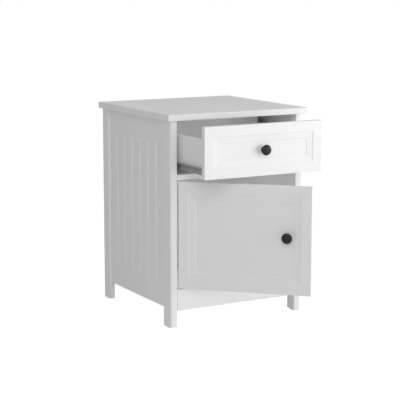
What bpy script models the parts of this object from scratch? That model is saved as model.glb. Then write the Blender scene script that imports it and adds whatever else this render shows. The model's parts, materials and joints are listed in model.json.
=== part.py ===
"""White bedside cabinet on four legs, with a drawer on roller runners above a door on concealed hinges.

Metres, +Z up, +X to the cabinet's right as seen from the front, +Y to its back. Every piece is drawn
with the cabinet shut and its front on y = 0, then carried to the pose that it rests in: drawer pulled
part way out and door ajar. The origin is under the middle of the cabinet's box in that pose.
"""
import math

import bmesh
import bpy
from mathutils import Matrix, Vector

# Overall sizes
WIDTH = 0.450
DEPTH = 0.450
HEIGHT = 0.600

# Top panel
TOP_THICKNESS = 0.018
TOP_SIDE_OVERHANG = 0.010
TOP_FRONT_OVERHANG = 0.010
TOP_REAR_OVERHANG = 0.005
TOP_EDGE_RADIUS = 0.002

# Legs: a front leg is a stile with a wider post at its front
STILE_THICKNESS = 0.016
POST_WIDTH = 0.022
POST_DEPTH = 0.023
FRONT_LEG_DEPTH = 0.045
REAR_LEG_DEPTH = 0.041
LEG_EDGE_RADIUS = 0.0045
POST_EDGE_RADIUS = 0.003
GLIDE_RADIUS = 0.0065
GLIDE_THICKNESS = 0.002

# Side panels, with upright V grooves that stop short of both ends
SIDE_PANEL_RECESS = 0.006
SIDE_PANEL_BOTTOM = 0.053
GROOVE_COUNT = 6
GROOVE_WIDTH = 0.010
GROOVE_DEPTH = 0.002
GROOVE_END_MARGIN = 0.060

# Inner panels
APRON_BOTTOM = 0.050
APRON_THICKNESS = 0.016
FLOOR_TOP = 0.1105
FLOOR_THICKNESS = 0.015
DIVIDER_THICKNESS = 0.015
BACK_THICKNESS = 0.003
BACK_REBATE_WIDTH = 0.008

# Drawer front and door, both routed with a recessed panel
FRONT_THICKNESS = 0.016
FRONT_SIDE_GAP = 0.0065
FRONT_GAP_BELOW = 0.003
FRONT_GAP_ABOVE = 0.004
FRAME_WIDTH = 0.0285
STEP_RUN = 0.0020
OUTER_STEP = 0.0015
MOULDING_WIDTH = 0.0165
MOULDING_DROP = 0.0012
INNER_STEP = 0.0015
MOULDING_FACETS = 4

# Drawer box, which reaches a little behind its runners, with a back that stands above its sides
DRAWER_FRONT_HEIGHT = 0.142
DRAWER_BACK_MARGIN = 0.004
DRAWER_SIDE_HEIGHT = 0.0942
DRAWER_BACK_RISE = 0.028
DRAWER_WALL = 0.012
DRAWER_BOTTOM_THICKNESS = 0.003
DRAWER_BOTTOM_RISE = 0.010
DRAWER_GROOVE_DEPTH = 0.005
DRAWER_REST_OPENING = 0.141

# Roller runners, each on a batten that packs it out to the inner face of the post
BATTEN_MARGIN = 0.003
RUNNER_LENGTH = 0.300
RUNNER_SPACE = 0.0127
RUNNER_LIFT = 0.0135
RUNNER_STEEL = 0.001
RUNNER_CLEARANCE = 0.0015
DRAWER_RUNNER_HEIGHT = 0.0192
CABINET_RUNNER_DROP = 0.006
CABINET_RUNNER_LIP = 0.0045
LIP_CLEARANCE = 0.002
FRONT_ROLLER_RADIUS = 0.0085
REAR_ROLLER_RADIUS = 0.0080
ROLLER_EDGE = 0.00075
ROLLER_INSET = 0.013
DRAWER_TRAVEL = 0.225
STOP_REACH = 0.004
STOP_RISE = 0.004
STOP_HEIGHT = 0.012
AXLE_RADIUS = 0.002
AXLE_HEAD_RADIUS = 0.0034
AXLE_HEAD = 0.0006

# Knobs
KNOB_RADIUS = 0.01475
KNOB_HEIGHT = 0.020
KNOB_BASE_RADIUS = 0.0085
KNOB_BASE_HEIGHT = 0.0016
KNOB_NECK_RADIUS = 0.0060
KNOB_NECK_HEIGHT = 0.0060
KNOB_THROAT_RADIUS = 0.0072
KNOB_THROAT_HEIGHT = 0.0084
KNOB_SHOULDER_RADIUS = 0.0133
KNOB_SHOULDER_HEIGHT = 0.0116
KNOB_RIM_HEIGHT = 0.014
KNOB_CROWN_POWER = 0.6
KNOB_BORE_DEPTH = 0.010
SCREW_RADIUS = 0.002
SCREW_HEAD_RADIUS = 0.0044
SCREW_CROWN_RADIUS = 0.0031
SCREW_HEAD = 0.0024
DOOR_KNOB_FROM_EDGE = 0.066
DOOR_KNOB_RISE = 0.159

# Concealed hinges: the arm stands on the cabinet's side, the link swings on the arm, the cup on the link
DOOR_REST_ANGLE = math.radians(44.5)
HINGE_END_DISTANCE = 0.060
CUP_RADIUS = 0.0172
CUP_WALL = 0.0008
CUP_BACKING = 0.005
CUP_EDGE_DISTANCE = 0.005
CUP_EAR_REACH = 0.027
CUP_EAR_WIDTH = 0.013
CUP_EAR_ROOT = 0.0078
CUP_EAR_RADIUS = 0.0052
CUP_EAR_THICKNESS = 0.0012
CUP_PIVOT_FROM_RIM = 0.0046
CUP_PIVOT_SINK = 0.0025
ARM_PIVOT_FROM_RIM = 0.0184
ARM_PIVOT_SINK = 0.0001
LINK_TURN_RATIO = 0.9
LINK_HALF_THICKNESS = 0.001
LINK_HALF_HEIGHT = 0.005
LINK_FLOOR_CLEARANCE = 0.0016
LINK_LEAN = 0.0006
EYE_RADIUS = 0.0025
PIN_RADIUS = 0.00125
ARM_HALF_THICKNESS = 0.00125
ARM_CHEEK = 0.001
ARM_LENGTH = 0.048
PLATE_THICKNESS = 0.0025
PLATE_LENGTH = 0.040
PLATE_HEIGHT = 0.022
PLATE_WING_REACH = 0.024
PLATE_WING_WIDTH = 0.014

# Magnetic catch
CATCH_LENGTH = 0.046
CATCH_DEPTH = 0.014
CATCH_HEIGHT = 0.008
CATCH_FROM_EDGE = 0.055
STRIKE_LENGTH = 0.038
STRIKE_HEIGHT = 0.011
STRIKE_THICKNESS = 0.0012

# Clearances, welds and facets
FIT = 0.0003
WELD = 1e-6
SHARP_ANGLE = math.radians(30)
PANEL_EDGE_RADIUS = 0.001
ARC_STEPS = 4
ROUND_STEPS = 32
BEVEL_STEPS = 2

# Planes that follow from the sizes, with the cabinet shut
LEG_HALF = WIDTH / 2 - TOP_SIDE_OVERHANG
LEG_BACK = DEPTH - TOP_FRONT_OVERHANG - TOP_REAR_OVERHANG
TOP_UNDERSIDE = HEIGHT - TOP_THICKNESS
WALL_X = LEG_HALF - STILE_THICKNESS
SIDE_PANEL_X = LEG_HALF - SIDE_PANEL_RECESS
POST_X = LEG_HALF - POST_WIDTH
BACK_FACE = LEG_BACK - BACK_THICKNESS
FRONT_HALF = POST_X - FRONT_SIDE_GAP
DRAWER_TOP = TOP_UNDERSIDE - FRONT_GAP_ABOVE
DRAWER_FOOT = DRAWER_TOP - DRAWER_FRONT_HEIGHT
DIVIDER_TOP = DRAWER_FOOT - FRONT_GAP_BELOW
DIVIDER_UNDERSIDE = DIVIDER_TOP - DIVIDER_THICKNESS
DOOR_TOP = DIVIDER_UNDERSIDE - FRONT_GAP_ABOVE
DOOR_FOOT = FLOOR_TOP + FRONT_GAP_BELOW
PANEL_SINK = OUTER_STEP + MOULDING_DROP + INNER_STEP
RUNNER_FOOT = DIVIDER_TOP + RUNNER_LIFT
RUNNER_START = POST_DEPTH + FIT
DRAWER_SIDE_FOOT = RUNNER_FOOT + RUNNER_STEEL + FIT
DRAWER_BOX_FRONT = FRONT_THICKNESS + FIT
DRAWER_RUNNER_END = DRAWER_BOX_FRONT + RUNNER_LENGTH
DRAWER_BOX_BACK = DRAWER_RUNNER_END + DRAWER_BACK_MARGIN
DRAWER_HALF = POST_X - RUNNER_SPACE
BORE_RADIUS = PIN_RADIUS + FIT

# Hinge axes in plan, with the door shut: the arm's pivot is fixed, and the cup's pivot is on the door
CUP_RIM_X = -FRONT_HALF + CUP_EDGE_DISTANCE
CUP_X = CUP_RIM_X + CUP_RADIUS
CUP_DEPTH = FRONT_THICKNESS - CUP_BACKING
ARM_PIVOT = Vector((CUP_RIM_X + ARM_PIVOT_FROM_RIM, FRONT_THICKNESS - ARM_PIVOT_SINK))
CUP_PIVOT = Vector((CUP_RIM_X + CUP_PIVOT_FROM_RIM, FRONT_THICKNESS - CUP_PIVOT_SINK))
LINK_REST_ANGLE = LINK_TURN_RATIO * DOOR_REST_ANGLE
CUP_PIVOT_REST = ARM_PIVOT + Matrix.Rotation(LINK_REST_ANGLE, 2) @ (CUP_PIVOT - ARM_PIVOT)
HINGE_HEIGHTS = {"lower": DOOR_FOOT + HINGE_END_DISTANCE, "upper": DOOR_TOP - HINGE_END_DISTANCE}


def rest_box_middle():
    """Middle of the box from the top panel's back edge to the free edge of the open door, along Y."""
    turn = Matrix.Rotation(-DOOR_REST_ANGLE, 2)
    free_corner = Vector((FRONT_HALF - PANEL_EDGE_RADIUS, PANEL_EDGE_RADIUS))
    swung = CUP_PIVOT_REST + turn @ (free_corner - CUP_PIVOT)
    return (swung.y - PANEL_EDGE_RADIUS + DEPTH - TOP_FRONT_OVERHANG) / 2


def clear_scene():
    for obj in list(bpy.data.objects):
        bpy.data.objects.remove(obj, do_unlink=True)


def new_collection(name):
    collection = bpy.data.collections.new(name)
    bpy.context.scene.collection.children.link(collection)
    return collection


def new_material(name, colour, roughness, metallic=0.0):
    material = bpy.data.materials.new(name)
    material.use_nodes = True
    shader = material.node_tree.nodes["Principled BSDF"]
    shader.inputs["Base Color"].default_value = (*colour, 1.0)
    shader.inputs["Roughness"].default_value = roughness
    shader.inputs["Metallic"].default_value = metallic
    return material


clear_scene()
PARTS = new_collection("bedside_cabinet")
CUTTERS = new_collection("cutters")
WHITE = new_material("white_lacquer", (0.82, 0.82, 0.82), 0.45)
BOARD = new_material("white_hardboard", (0.76, 0.76, 0.75), 0.6)
BLACK = new_material("black_knob", (0.012, 0.012, 0.012), 0.35)
STEEL = new_material("zinc_steel", (0.50, 0.50, 0.51), 0.35, 1.0)
GREY = new_material("grey_steel", (0.30, 0.30, 0.31), 0.45)
NYLON = new_material("white_nylon", (0.70, 0.70, 0.68), 0.5)


def new_carrier(name, shut_at, rest_at, turn=0.0, parent=None):
    """Empty on a joint's axis: pieces drawn shut around shut_at are carried to rest_at and turned."""
    empty = bpy.data.objects.new(name, None)
    PARTS.objects.link(empty)
    empty.parent = parent
    empty.location = rest_at
    empty.rotation_euler = (0, 0, turn)
    empty["shut_at"] = tuple(shut_at)
    return empty


ROOT = new_carrier("cabinet_frame", (0, 0, 0), (0, -rest_box_middle(), 0))
DRAWER = new_carrier("drawer_slide", (0, 0, 0), (0, -DRAWER_REST_OPENING, 0), parent=ROOT)
LINKS = new_carrier("hinge_link_axis", (*ARM_PIVOT, 0), (*ARM_PIVOT, 0), LINK_REST_ANGLE, ROOT)
DOOR = new_carrier("door_axis", (*CUP_PIVOT, 0), (*CUP_PIVOT_REST, 0), -DOOR_REST_ANGLE, ROOT)


def add_object(name, mesh, carrier, collection):
    obj = bpy.data.objects.new(name, mesh)
    mesh.transform(Matrix.Translation(-Vector(carrier["shut_at"])))
    obj.parent = carrier
    collection.objects.link(obj)
    return obj


def add_piece(name, mesh, material, carrier=ROOT):
    mesh.name = name
    mesh.materials.clear()
    mesh.materials.append(material)
    mesh.shade_smooth()
    mesh.set_sharp_from_angle(angle=SHARP_ANGLE)
    return add_object(name, mesh, carrier, PARTS)


def apply_tool(obj, mesh, operation="DIFFERENCE"):
    """Cut obj by a tool's mesh, or join the tool to it."""
    tool = add_object(obj.name + "_tool", mesh, obj.parent, CUTTERS)
    tool.hide_render = True
    tool.display_type = "WIRE"
    modifier = obj.modifiers.new(operation.lower(), "BOOLEAN")
    modifier.operation = operation
    modifier.solver = "EXACT"
    modifier.object = tool


def to_mesh(bm):
    mesh = bpy.data.meshes.new("piece")
    bm.to_mesh(mesh)
    bm.free()
    return mesh


def evaluated_mesh(obj):
    """Mesh of a helper object as evaluated, welded and facing outwards; the helper is removed."""
    bpy.context.scene.collection.objects.link(obj)
    evaluated = obj.evaluated_get(bpy.context.evaluated_depsgraph_get())
    mesh = bpy.data.meshes.new_from_object(evaluated)
    bpy.data.objects.remove(obj, do_unlink=True)
    bm = bmesh.new()
    bm.from_mesh(mesh)
    bmesh.ops.remove_doubles(bm, verts=bm.verts, dist=WELD)
    bmesh.ops.recalc_face_normals(bm, faces=bm.faces)
    bm.to_mesh(mesh)
    bm.free()
    return mesh


def box_bmesh(low, high):
    low, high = Vector(low), Vector(high)
    bm = bmesh.new()
    bmesh.ops.create_cube(bm, size=1.0)
    bmesh.ops.scale(bm, vec=high - low, verts=bm.verts)
    bmesh.ops.translate(bm, vec=(low + high) / 2, verts=bm.verts)
    return bm


def ease_edges(bm, radius):
    bmesh.ops.bevel(bm, geom=bm.edges[:], offset=radius, offset_type="OFFSET", segments=BEVEL_STEPS,
                    profile=0.5, affect="EDGES", clamp_overlap=True, material=-1)


def block(low, high, radius=0.0):
    """Board or block between two corners, its edges eased by radius."""
    bm = box_bmesh(low, high)
    if radius:
        ease_edges(bm, radius)
    return to_mesh(bm)


def sided(corner_a, corner_b):
    """Lowest and highest corners of the box between two corners given in any order."""
    low = [min(a, b) for a, b in zip(corner_a, corner_b)]
    high = [max(a, b) for a, b in zip(corner_a, corner_b)]
    return low, high


AXIS_FRAMES = {
    "X": Matrix(((0, 0, 1), (1, 0, 0), (0, 1, 0))).to_4x4(),
    "Y": Matrix(((1, 0, 0), (0, 0, 1), (0, 1, 0))).to_4x4(),
    "Z": Matrix.Identity(4),
}


def rounded(corners):
    """Outline through (u, v, radius) corners, each turned by an arc of its radius."""
    points = []
    for i, (u, v, radius) in enumerate(corners):
        corner = Vector((u, v))
        if radius == 0:
            points.append(corner)
            continue
        before = (Vector(corners[i - 1][:2]) - corner).normalized()
        after = (Vector(corners[(i + 1) % len(corners)][:2]) - corner).normalized()
        half = before.angle(after) / 2
        centre = corner + (before + after).normalized() * radius / math.sin(half)
        start = corner + before * radius / math.tan(half) - centre
        sweep = math.pi - 2 * half
        if before.x * after.y - before.y * after.x > 0:
            sweep = -sweep
        for step in range(ARC_STEPS + 1):
            points.append(centre + Matrix.Rotation(sweep * step / ARC_STEPS, 2) @ start)
    return points


def prism(outline, low, high, axis, holes=()):
    """Flat outline drawn across an axis and extruded along it from low to high."""
    curve = bpy.data.curves.new("outline", "CURVE")
    curve.dimensions = "2D"
    curve.fill_mode = "BOTH"
    curve.extrude = (high - low) / 2
    for loop in (outline, *holes):
        spline = curve.splines.new("POLY")
        spline.points.add(len(loop) - 1)
        for point, (u, v) in zip(spline.points, loop):
            point.co = (u, v, 0, 1)
        spline.use_cyclic_u = True
    mesh = evaluated_mesh(bpy.data.objects.new("outline", curve))
    mesh.transform(AXIS_FRAMES[axis] @ Matrix.Translation((0, 0, (low + high) / 2)))
    if AXIS_FRAMES[axis].determinant() < 0:
        mesh.flip_normals()
    return mesh


def turned(profile, frame):
    """Profile of (radius, height) points turned about its height axis, placed by a frame matrix."""
    mesh = bpy.data.meshes.new("profile")
    points = [(radius, 0, height) for radius, height in profile]
    mesh.from_pydata(points, [(i, i + 1) for i in range(len(points) - 1)], [])
    obj = bpy.data.objects.new("profile", mesh)
    screw = obj.modifiers.new("turn", "SCREW")
    screw.steps = ROUND_STEPS
    screw.render_steps = ROUND_STEPS
    screw.use_merge_vertices = True
    screw.merge_threshold = WELD
    mesh = evaluated_mesh(obj)
    mesh.transform(frame)
    return mesh


def rod(start, end, radius):
    """Plain round bar between two points."""
    start, end = Vector(start), Vector(end)
    bm = bmesh.new()
    bmesh.ops.create_cone(bm, cap_ends=True, segments=ROUND_STEPS, radius1=radius, radius2=radius,
                          depth=(end - start).length)
    turn = Vector((0, 0, 1)).rotation_difference(end - start).to_matrix().to_4x4()
    bm.transform(Matrix.Translation((start + end) / 2) @ turn)
    return to_mesh(bm)


def strip(path, half_thickness):
    """Outline of a bent strip in plan: its path offset to both sides, mitred at the bends."""
    sides = ([], [])
    for i, point in enumerate(path):
        ways = []
        if i > 0:
            ways.append((path[i] - path[i - 1]).normalized())
        if i < len(path) - 1:
            ways.append((path[i + 1] - path[i]).normalized())
        normals = [Vector((-way.y, way.x)) for way in ways]
        mitre = sum(normals, Vector((0, 0))).normalized()
        reach = half_thickness / mitre.dot(normals[0])
        sides[0].append(point + mitre * reach)
        sides[1].append(point - mitre * reach)
    return sides[0] + sides[1][::-1]


def facing_front(x, y, z):
    """Frame of a turned piece that stands out of a front: its height runs towards -Y."""
    return Matrix.Translation((x, y, z)) @ Matrix.Rotation(math.radians(90), 4, "X")


def make_legs(side, sign):
    foot = GLIDE_THICKNESS + FIT
    rear_y = LEG_BACK - REAR_LEG_DEPTH
    rebate_y = BACK_FACE - FIT
    rebate_x = STILE_THICKNESS - BACK_REBATE_WIDTH
    front = ((0, 0, LEG_EDGE_RADIUS), (POST_WIDTH, 0, POST_EDGE_RADIUS), (POST_WIDTH, POST_DEPTH, 0),
             (STILE_THICKNESS, POST_DEPTH, 0), (STILE_THICKNESS, FRONT_LEG_DEPTH, 0),
             (0, FRONT_LEG_DEPTH, LEG_EDGE_RADIUS))
    rear = ((0, rear_y, LEG_EDGE_RADIUS), (STILE_THICKNESS, rear_y, 0), (STILE_THICKNESS, rebate_y, 0),
            (rebate_x, rebate_y, 0), (rebate_x, LEG_BACK, 0), (0, LEG_BACK, LEG_EDGE_RADIUS))
    glide_spots = {"front": FRONT_LEG_DEPTH / 2, "rear": LEG_BACK - REAR_LEG_DEPTH / 2}
    for place, corners in (("front", front), ("rear", rear)):
        outline = rounded([(sign * (LEG_HALF - inset), y, radius) for inset, y, radius in corners])
        leg = prism(outline, foot, TOP_UNDERSIDE - FIT, "Z")
        add_piece(f"{side}_{place}_leg", leg, WHITE)
        spot = Matrix.Translation((sign * (LEG_HALF - STILE_THICKNESS / 2), glide_spots[place], 0))
        edge = GLIDE_THICKNESS / 2
        dome = ((0, GLIDE_THICKNESS), (GLIDE_RADIUS, GLIDE_THICKNESS), (GLIDE_RADIUS, edge),
                (GLIDE_RADIUS - edge, 0), (0, 0))
        add_piece(f"{side}_{place}_glide", turned(dome, spot), NYLON)


def make_side_panel(side, sign):
    front = FRONT_LEG_DEPTH + FIT
    back = LEG_BACK - REAR_LEG_DEPTH - FIT
    outer_x = sign * SIDE_PANEL_X
    top = TOP_UNDERSIDE - FIT
    low, high = sided((outer_x, front, SIDE_PANEL_BOTTOM), (sign * WALL_X, back, top))
    panel = add_piece(f"{side}_side_panel", block(low, high), WHITE)
    groove_length = top - SIDE_PANEL_BOTTOM - 2 * GROOVE_END_MARGIN
    plank = (back - front) / (GROOVE_COUNT + 1)
    side_length = math.sqrt(0.5)
    diamond = Matrix.Rotation(math.radians(45), 4, "Z") @ Matrix.Diagonal((side_length, side_length, 1, 1))
    bar = Matrix.Diagonal((2 * GROOVE_DEPTH, GROOVE_WIDTH, groove_length, 1)) @ diamond
    bit = bmesh.new()
    for i in range(1, GROOVE_COUNT + 1):
        place = Matrix.Translation((outer_x, front + i * plank, (SIDE_PANEL_BOTTOM + top) / 2))
        bmesh.ops.create_cube(bit, size=1.0, matrix=place @ bar)
    apply_tool(panel, to_mesh(bit))


def notched_board(front):
    """Plan of an inner board that fits round the posts and against the sides and the back."""
    post_x, wall_x = POST_X - FIT, WALL_X - FIT
    notch, back = POST_DEPTH + FIT, BACK_FACE - FIT
    half = ((post_x, front), (post_x, notch), (wall_x, notch), (wall_x, back))
    return [*half, *((-x, y) for x, y in reversed(half))]


def make_carcass():
    half = WIDTH / 2
    front, back = -TOP_FRONT_OVERHANG, DEPTH - TOP_FRONT_OVERHANG
    top = block((-half, front, TOP_UNDERSIDE), (half, back, HEIGHT), TOP_EDGE_RADIUS)
    add_piece("top_panel", top, WHITE)
    for side, sign in (("left", -1), ("right", 1)):
        make_legs(side, sign)
        make_side_panel(side, sign)
    floor = prism(notched_board(APRON_THICKNESS + FIT), FLOOR_TOP - FLOOR_THICKNESS, FLOOR_TOP, "Z")
    add_piece("floor_panel", floor, WHITE)
    divider = prism(notched_board(0), DIVIDER_UNDERSIDE, DIVIDER_TOP, "Z")
    add_piece("divider_panel", divider, WHITE)
    apron_x = POST_X - FIT
    apron = block((-apron_x, 0, APRON_BOTTOM), (apron_x, APRON_THICKNESS, FLOOR_TOP), PANEL_EDGE_RADIUS)
    add_piece("front_apron", apron, WHITE)
    back_x = WALL_X + BACK_REBATE_WIDTH - FIT
    back_foot = FLOOR_TOP - FLOOR_THICKNESS
    back_panel = block((-back_x, BACK_FACE, back_foot), (back_x, LEG_BACK, TOP_UNDERSIDE - FIT))
    add_piece("back_panel", back_panel, BOARD)


def routed_front(foot, top):
    """Front board with eased edges and a panel sunk behind a frame with two bevels and an ogee between."""
    bm = box_bmesh((-FRONT_HALF, 0, foot), (FRONT_HALF, FRONT_THICKNESS, top))
    ease_edges(bm, PANEL_EDGE_RADIUS)
    face = max(bm.faces, key=lambda f: -f.normal.y * f.calc_area())
    cuts = [(FRAME_WIDTH - PANEL_EDGE_RADIUS, 0.0), (STEP_RUN, OUTER_STEP)]
    reached = 0.0
    for facet in range(1, MOULDING_FACETS + 1):
        fall = MOULDING_DROP * (1 - math.cos(math.pi * facet / MOULDING_FACETS)) / 2
        cuts.append((MOULDING_WIDTH / MOULDING_FACETS, fall - reached))
        reached = fall
    cuts.append((STEP_RUN, INNER_STEP))
    for inset, sink in cuts:
        bmesh.ops.inset_region(bm, faces=[face], thickness=inset, depth=-sink, use_even_offset=True)
    return to_mesh(bm)


def make_knob(name, board, x, z, carrier):
    """Mushroom knob on a routed front, with the screw that holds it from behind."""
    seat = PANEL_SINK - FIT
    bore = SCREW_RADIUS + FIT
    rim_to_top = KNOB_HEIGHT - KNOB_RIM_HEIGHT
    profile = [(0, KNOB_BORE_DEPTH), (bore, KNOB_BORE_DEPTH), (bore, 0), (KNOB_BASE_RADIUS, 0),
               (KNOB_BASE_RADIUS, KNOB_BASE_HEIGHT), (KNOB_NECK_RADIUS, KNOB_NECK_HEIGHT),
               (KNOB_THROAT_RADIUS, KNOB_THROAT_HEIGHT), (KNOB_SHOULDER_RADIUS, KNOB_SHOULDER_HEIGHT)]
    crown_steps = 2 * ARC_STEPS
    for step in range(crown_steps):
        angle = math.pi / 2 * step / crown_steps
        radius = KNOB_RADIUS * math.cos(angle) ** KNOB_CROWN_POWER
        profile.append((radius, KNOB_RIM_HEIGHT + rim_to_top * math.sin(angle)))
    profile.append((0, KNOB_HEIGHT))
    add_piece(f"{name}_knob", turned(profile, facing_front(x, seat, z)), BLACK, carrier)
    back = FRONT_THICKNESS + FIT
    tip = seat - KNOB_BORE_DEPTH + FIT
    screw = ((0, -SCREW_HEAD), (SCREW_CROWN_RADIUS, -SCREW_HEAD), (SCREW_HEAD_RADIUS, -SCREW_HEAD / 2),
             (SCREW_HEAD_RADIUS, 0), (SCREW_RADIUS, 0), (SCREW_RADIUS, back - tip), (0, back - tip))
    add_piece(f"{name}_knob_screw", turned(screw, facing_front(x, back, z)), STEEL, carrier)
    apply_tool(board, rod((x, -FRONT_THICKNESS, z), (x, 2 * FRONT_THICKNESS, z), bore))


def make_drawer():
    front = add_piece("drawer_front", routed_front(DRAWER_FOOT, DRAWER_TOP), WHITE, DRAWER)
    make_knob("drawer", front, 0, (DRAWER_FOOT + DRAWER_TOP) / 2, DRAWER)
    top = DRAWER_SIDE_FOOT + DRAWER_SIDE_HEIGHT
    bottom_low = DRAWER_SIDE_FOOT + DRAWER_BOTTOM_RISE
    bottom_top = bottom_low + DRAWER_BOTTOM_THICKNESS
    inner = DRAWER_HALF - DRAWER_WALL
    groove = inner + DRAWER_GROOVE_DEPTH
    for side, sign in (("left", -1), ("right", 1)):
        section = ((DRAWER_HALF, DRAWER_SIDE_FOOT), (DRAWER_HALF, top), (inner, top),
                   (inner, bottom_top + FIT), (groove, bottom_top + FIT), (groove, bottom_low - FIT),
                   (inner, bottom_low - FIT), (inner, DRAWER_SIDE_FOOT))
        board = prism([(sign * x, z) for x, z in section], DRAWER_BOX_FRONT, DRAWER_BOX_BACK, "Y")
        add_piece(f"drawer_{side}_side", board, WHITE, DRAWER)
    back = block((-inner + FIT, DRAWER_BOX_BACK - DRAWER_WALL, bottom_top + FIT),
                 (inner - FIT, DRAWER_BOX_BACK, top + DRAWER_BACK_RISE))
    add_piece("drawer_back", back, WHITE, DRAWER)
    bottom = block((-groove + FIT, DRAWER_BOX_FRONT, bottom_low),
                   (groove - FIT, DRAWER_BOX_BACK, bottom_top))
    add_piece("drawer_bottom", bottom, BOARD, DRAWER)


def make_runners(side, sign):
    """Roller runner pair: a channel on the cabinet's side and an angle under the drawer's side.

    Two lugs pressed out of the channel stop the drawer's roller where it is open and where it is shut.
    """
    def inward(reach):
        return sign * (POST_X - reach)

    steel = RUNNER_STEEL
    web = FIT + steel
    plate = RUNNER_SPACE - FIT
    plate_out = plate - steel
    foot = RUNNER_FOOT - CABINET_RUNNER_DROP
    head = RUNNER_FOOT + DRAWER_RUNNER_HEIGHT
    top = head + LIP_CLEARANCE + steel
    end = RUNNER_START + RUNNER_LENGTH
    low, high = sided((sign * (WALL_X - FIT), RUNNER_START, foot - BATTEN_MARGIN),
                      (sign * POST_X, end, top + BATTEN_MARGIN))
    add_piece(f"{side}_runner_batten", block(low, high, PANEL_EDGE_RADIUS), WHITE)

    flange, lip = plate_out - RUNNER_CLEARANCE, web + CABINET_RUNNER_LIP
    channel = ((FIT, foot), (flange, foot), (flange, foot + steel), (web, foot + steel),
               (web, top - steel), (lip, top - steel), (lip, top), (FIT, top))
    mesh = prism([(inward(w), z) for w, z in channel], RUNNER_START, end, "Y")
    cabinet_runner = add_piece(f"{side}_cabinet_runner", mesh, STEEL)

    under = RUNNER_SPACE + DRAWER_WALL
    tread = web + RUNNER_CLEARANCE
    angle = ((plate_out, RUNNER_FOOT), (under, RUNNER_FOOT), (under, RUNNER_FOOT + steel),
             (plate, RUNNER_FOOT + steel), (plate, head), (tread, head), (tread, head - steel),
             (plate_out, head - steel))
    mesh = prism([(inward(w), z) for w, z in angle], DRAWER_BOX_FRONT, DRAWER_RUNNER_END, "Y")
    drawer_runner = add_piece(f"{side}_drawer_runner", mesh, GREY, DRAWER)

    width = plate_out - web - 2 * FIT - AXLE_HEAD - RUNNER_CLEARANCE
    front_z = head - steel - FIT - FRONT_ROLLER_RADIUS
    make_roller(f"{side}_front_roller", cabinet_runner, inward(web - steel / 2), -sign,
                RUNNER_START + ROLLER_INSET, front_z, FRONT_ROLLER_RADIUS, width, ROOT)
    rear_y = DRAWER_RUNNER_END - ROLLER_INSET
    rear_z = foot + steel + FIT + REAR_ROLLER_RADIUS
    make_roller(f"{side}_rear_roller", drawer_runner, inward(plate_out + steel / 2), sign,
                rear_y, rear_z, REAR_ROLLER_RADIUS, width, DRAWER)

    stop_z = foot + steel + STOP_RISE
    open_stop = rear_y - DRAWER_TRAVEL - REAR_ROLLER_RADIUS - FIT - steel
    shut_stop = rear_y + REAR_ROLLER_RADIUS + FIT
    for stop_y in (open_stop, shut_stop):
        low, high = sided((inward(web - steel / 2), stop_y, stop_z),
                          (inward(web + STOP_REACH), stop_y + steel, stop_z + STOP_HEIGHT))
        apply_tool(cabinet_runner, block(low, high), "UNION")


def make_roller(name, runner, web_x, way, y, z, radius, width, carrier):
    """Nylon roller on an axle that is riveted to the middle of a runner's web and points way along X."""
    near = RUNNER_STEEL / 2 + FIT
    far = near + width
    bore = AXLE_RADIUS + FIT
    rim = radius - ROLLER_EDGE
    ring = ((bore, near), (bore, far), (rim, far), (radius, far - ROLLER_EDGE),
            (radius, near + ROLLER_EDGE), (rim, near), (bore, near))
    frame = Matrix.Translation((web_x, y, z)) @ Matrix.Rotation(way * math.radians(90), 4, "Y")
    add_piece(name, turned(ring, frame), NYLON, carrier)
    end = far + FIT + AXLE_HEAD
    axle = ((0, 0), (AXLE_RADIUS, 0), (AXLE_RADIUS, far + FIT), (AXLE_HEAD_RADIUS, far + FIT),
            (AXLE_HEAD_RADIUS, end), (0, end))
    apply_tool(runner, turned(axle, frame), "UNION")


def make_door():
    door = add_piece("door_panel", routed_front(DOOR_FOOT, DOOR_TOP), WHITE, DOOR)
    make_knob("door", door, FRONT_HALF - DOOR_KNOB_FROM_EDGE, DOOR_FOOT + DOOR_KNOB_RISE, DOOR)
    for place, z in HINGE_HEIGHTS.items():
        sunk = FRONT_THICKNESS - CUP_DEPTH - FIT
        apply_tool(door, rod((CUP_X, sunk, z), (CUP_X, 2 * FRONT_THICKNESS, z), CUP_RADIUS + FIT))
        make_cup(place, z)
        make_link(place, z)
        make_arm(place, z)


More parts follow.
